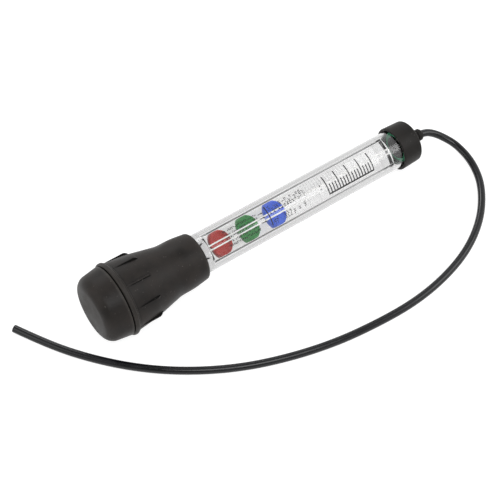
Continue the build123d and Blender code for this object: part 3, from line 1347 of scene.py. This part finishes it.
@dataclass
class FloatDisc:
    """A flat moulded float with a raised rim, lying face up in the channel, leant on its wall."""

    colour: FloatColour
    station: float
    body: Body
    node: str
    slot: str
    radius: float = 6.8
    thickness: float = 3.5
    edge: float = 0.5
    rim: float = 0.9
    dish: float = 0.3
    dish_slope: float = 0.3
    dish_rounding: float = 0.25
    rim_rounding: float = 0.2
    height: float = 3.95
    lean: float = 0.3
    sides: int = 96

    def build(self) -> None:
        """Builds the disc: its half section of radius r and height h is turned about its own axis."""
        half = self.thickness / 2
        inner = self.radius - self.rim
        corners = [
            (0.0, half - self.dish, 0.0),
            (inner - self.dish_slope, half - self.dish, self.dish_rounding),
            (inner, half, self.rim_rounding),
            (self.radius, half, self.edge),
            (self.radius, 0.0, 0.0),
        ]
        upper = rounded(corners, steps=5)
        lower = upper[::-1] * np.array([1.0, -1.0])
        outline = np.vstack([upper, lower[1:]])
        angles = even_angles(self.sides)
        radius, height = outline[:, :1], outline[:, 1:]
        rows = np.stack(
            [
                self.station + radius * np.cos(angles),
                radius * np.sin(angles) - self.lean,
                np.broadcast_to(self.height + height, (len(outline), len(angles))),
            ],
            axis=-1,
        )
        surface = Surface()
        surface.add_grid(AXIS.place(rows))
        made = surface.piece(f"{self.node}_float", sharp=40.0)
        plastic = MouldedPlastic(f"{self.colour.name.lower()}_moulded_plastic", self.colour.value)
        dress(made, [plastic], self.body, self.node)


# ---- Stopper, seal and end cap -------------------------------------------------------------


@dataclass
class StopperAndSeal:
    """Rubber stopper in the barrel's recess and the green seal ring on its nose."""

    nose: float = 223.3
    shoulder: float = 225.9
    end: float = 232.4
    radius: float = 10.35
    nose_radius: float = 7.35
    drain: float = 1.5
    seal: float = 1.6
    rounding: float = 0.3
    nose_rounding: float = 0.5
    drain_rounding: float = 0.2
    sides: int = 96

    def build(self) -> None:
        """Builds both pieces."""
        corners = [
            (self.nose, self.drain, self.drain_rounding),
            (self.nose, self.nose_radius, self.nose_rounding),
            (self.shoulder, self.nose_radius, 0.0),
            (self.shoulder, self.radius, self.rounding),
            (self.end, self.radius, self.rounding),
            (self.end, self.drain, self.drain_rounding),
        ]
        outline = rounded(corners, closed=True)
        stopper = turned_piece("rubber_stopper", outline, self.sides)
        # Its bare edges get wear with a painted highlight, and its crevices painted shade.
        rubber = MouldedRubber("moulded_stopper_rubber", "#161514", "#1d1b1a", wear_and_highlight="#2c2a28")
        dress(stopper, [rubber], Body.BARREL, "stopper")
        start = self.shoulder - self.seal
        corners = [
            (start, self.nose_radius, self.rounding),
            (start, self.radius, self.rounding),
            (self.shoulder, self.radius, self.rounding),
            (self.shoulder, self.nose_radius, self.rounding),
        ]
        section = rounded(corners, closed=True)
        seal = turned_piece("green_seal", section, self.sides)
        # Its bare edges get wear with a painted highlight.
        green = MouldedRubber("moulded_seal_rubber", "#2f8f63", "#3a9a6d", wear_and_highlight="#4aa57c")
        dress(seal, [green], Body.BARREL, "seal_ring")


@dataclass
class EndCap:
    """Moulded rubber cup over the barrel's end, with a beaded nozzle for the hose."""

    start: float = 221.9
    floor: float = 232.4
    end: float = 236.2
    nozzle_end: float = 245.9
    sleeve: float = 12.55
    mouth_radius: float = 14.4
    end_radius: float = 13.75
    root_radius: float = 3.55
    bead_radius: float = 3.9
    tip_radius: float = 2.9
    hose_radius: float = 2.4
    hose_start: float = 240.9
    drain: float = 1.5
    tip: float = 1.2
    bead: float = 2.5
    lead_in: float = 0.3
    floor_rounding: float = 0.3
    lead_rounding: float = 0.1
    mouth_rounding: float = 0.6
    end_rounding: float = 1.8
    root_rounding: float = 0.4
    bead_rounding: float = 0.15
    bead_end_rounding: float = 0.2
    sides: int = 144

    def build(self) -> None:
        """Builds the cap from one closed outline."""
        bead_end = self.nozzle_end - self.tip
        bead_start = bead_end - self.bead
        corners = [
            (self.floor, self.drain, 0.0),
            (self.floor, self.sleeve, self.floor_rounding),
            (self.start + self.lead_in, self.sleeve, self.lead_rounding),
            (self.start, self.sleeve + self.lead_in, self.lead_rounding),
            (self.start, self.mouth_radius, self.mouth_rounding),
            (self.end, self.end_radius, self.end_rounding),
            (self.end, self.root_radius, self.root_rounding),
            (bead_start, self.root_radius, self.bead_rounding),
            (bead_start, self.bead_radius, self.bead_rounding),
            (bead_end, self.bead_radius, self.bead_end_rounding),
            (self.nozzle_end, self.tip_radius, self.bead_rounding),
            (self.nozzle_end, self.hose_radius, 0.0),
            (self.hose_start, self.hose_radius, 0.0),
            (self.hose_start, self.drain, 0.0),
        ]
        outline = rounded(corners, closed=True, steps=6)
        made = turned_piece("rubber_cap", outline, self.sides)
        # Its bare edges get wear with a painted highlight, and its crevices painted shade.
        rubber = MouldedRubber("moulded_cap_rubber", "#100f0e", "#191716", wear_and_highlight="#35322f", gloss=0.17)
        dress(made, [rubber], Body.CAP, "end_cap")


# ---- Run -----------------------------------------------------------------------------------


def main() -> None:
    """Loads the frame and builds the studio and each sub-assembly in order."""
    logging.basicConfig(level=logging.INFO, format="%(name)s: %(message)s")
    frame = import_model()
    log.info("frame with %d nodes", len(frame["nodes"]))
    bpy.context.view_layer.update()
    bpy.context.scene.view_settings.view_transform = "Standard"
    studio = Studio()
    studio.build_camera()
    PickUpHose().build()
    studio.build_floor()
    studio.build_light()
    SqueezeBulb().build()
    Barrel().build()
    BarrelPrint().build()
    FloatDisc(FloatColour.RED, 87.9, Body.RED_FLOAT, "red_disc", "red_plastic").build()
    FloatDisc(FloatColour.GREEN, 107.9, Body.GREEN_FLOAT, "green_disc", "green_plastic").build()
    FloatDisc(FloatColour.BLUE, 127.6, Body.BLUE_FLOAT, "blue_disc", "blue_plastic").build()
    StopperAndSeal().build()
    EndCap().build()


if __name__ == "__main__":
    main()
